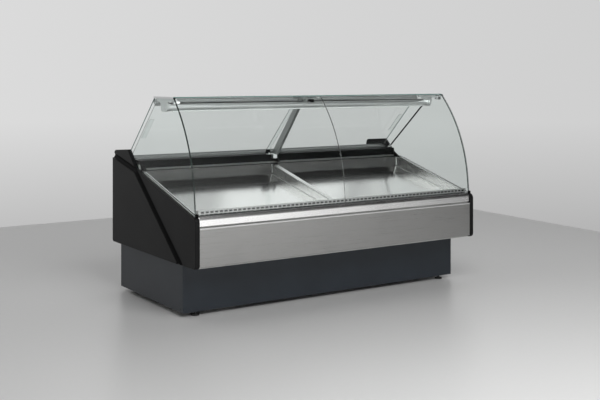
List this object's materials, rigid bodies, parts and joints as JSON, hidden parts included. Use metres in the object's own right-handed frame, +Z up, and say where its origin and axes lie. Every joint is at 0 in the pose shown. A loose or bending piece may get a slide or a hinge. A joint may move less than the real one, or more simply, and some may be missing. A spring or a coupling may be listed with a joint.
{
  "type": "curved-glass refrigerated serve-over counter",
  "caption": "Long refrigerated display counter with lift-up curved front glass, sloping steel deck in two bays, black end panels, sliding rear doors and a recessed plinth.",
  "frame": {"origin": "on the floor, at the middle of the counter's bounding box seen from above", "axes": "+X along the counter's length, to the customer's right; +Y from the customer's side to the service side; +Z up"},
  "size_m": [2.1, 1.15, 1.256],
  "materials": {
    "black_end": "satin",
    "black_trim": "satin",
    "black_enamel": "satin",
    "panel_steel": "satin",
    "bright_steel": "satin",
    "deck_steel": "satin",
    "aluminium": "satin",
    "coil_metal": "satin",
    "zinc_steel": "satin",
    "foot_metal": "satin",
    "plinth_paint": "satin",
    "tub_skin": "satin",
    "fan_plastic": "satin",
    "rocker_plastic": "gloss",
    "display_window": "gloss",
    "lamp_lens": "satin",
    "curved_glass": "gloss",
    "door_glass": "gloss"
  },
  "bodies": {
    "root": {"base_bearer_front": "zinc_steel", "base_post_front_left": "zinc_steel", "foot_front_left": "foot_metal", "base_post_front_right": "zinc_steel", "foot_front_right": "foot_metal", "base_bearer_rear": "zinc_steel", "base_post_rear_left": "zinc_steel", "foot_rear_left": "foot_metal", "base_post_rear_right": "zinc_steel", "foot_rear_right": "foot_metal", "plinth_front_panel": "plinth_paint", "plinth_left_panel": "plinth_paint", "plinth_right_panel": "plinth_paint", "plinth_rear_grille": "plinth_paint", "unit_tray": "zinc_steel", "compressor": "black_enamel", "condenser_coil": "coil_metal", "condenser_fan_shroud": "zinc_steel", "condenser_fan_motor": "black_enamel", "insulated_tub": "tub_skin", "side_liner_left": "bright_steel", "side_liner_right": "bright_steel", "rear_air_duct_panel": "bright_steel", "bay_divider": "bright_steel", "evaporator_coil": "coil_metal", "evaporator_fan_plate": "zinc_steel", "front_panel": "panel_steel", "front_nose": "bright_steel", "front_air_grille": "bright_steel", "end_panel_left": "black_end", "end_panel_right": "black_end", "rear_rail": "black_trim", "door_sill_track": "aluminium", "door_head_track": "aluminium", "rear_worktop": "panel_steel", "rear_panel": "zinc_steel", "control_panel": "black_trim", "temperature_display": "display_window", "end_glass_left": "curved_glass", "end_glass_right": "curved_glass", "top_glass": "curved_glass", "end_bracket_left": "aluminium", "end_bracket_right": "aluminium", "middle_bracket": "aluminium", "canopy_tube": "aluminium", "lamp_lens": "lamp_lens", "middle_post": "aluminium", "lamp_conduit": "black_trim"},
    "front_glass_left": {"front_glass_left": "curved_glass"},
    "front_glass_right": {"front_glass_right": "curved_glass"},
    "rear_door_left": {"rear_door_left": "door_glass", "door_pull_left": "aluminium"},
    "rear_door_right": {"rear_door_right": "door_glass", "door_pull_right": "aluminium"},
    "deck_pan_left": {"deck_pan_left": "deck_steel"},
    "deck_pan_right": {"deck_pan_right": "deck_steel"},
    "condenser_fan": {"condenser_fan": "fan_plastic"},
    "evaporator_fan_left": {"evaporator_fan_left": "fan_plastic"},
    "evaporator_fan_right": {"evaporator_fan_right": "fan_plastic"},
    "light_switch": {"light_switch": "rocker_plastic"}
  },
  "joints": [
    {"name": "front_glass_left_lift", "type": "hinge", "parent": "root", "child": "front_glass_left", "pos_m": [-0.513, -0.281, 1.247], "axis": [-1, 0, 0], "range_deg": [0, 65]},
    {"name": "front_glass_right_lift", "type": "hinge", "parent": "root", "child": "front_glass_right", "pos_m": [0.513, -0.281, 1.247], "axis": [-1, 0, 0], "range_deg": [0, 65]},
    {"name": "rear_door_left_slide", "type": "slide", "parent": "root", "child": "rear_door_left", "axis": [1, 0, 0], "range_m": [0, 0.93]},
    {"name": "rear_door_right_slide", "type": "slide", "parent": "root", "child": "rear_door_right", "axis": [-1, 0, 0], "range_m": [0, 0.93]},
    {"name": "deck_pan_left_lift", "type": "slide", "parent": "root", "child": "deck_pan_left", "axis": [0, 0, 1], "range_m": [0, 0.12]},
    {"name": "deck_pan_right_lift", "type": "slide", "parent": "root", "child": "deck_pan_right", "axis": [0, 0, 1], "range_m": [0, 0.12]},
    {"name": "condenser_fan_spin", "type": "hinge", "parent": "root", "child": "condenser_fan", "pos_m": [0.14, 0.357, 0.188], "axis": [0, 1, 0], "continuous": true},
    {"name": "evaporator_fan_left_spin", "type": "hinge", "parent": "root", "child": "evaporator_fan_left", "pos_m": [-0.48, -0.086, 0.49], "axis": [0, 1, 0], "continuous": true},
    {"name": "evaporator_fan_right_spin", "type": "hinge", "parent": "root", "child": "evaporator_fan_right", "pos_m": [0.48, -0.086, 0.49], "axis": [0, 1, 0], "continuous": true},
    {"name": "light_switch_rock", "type": "hinge", "parent": "root", "child": "light_switch", "pos_m": [0.7, 0.5695, 0.77], "axis": [1, 0, 0], "range_deg": [0, 10]}
  ]
}
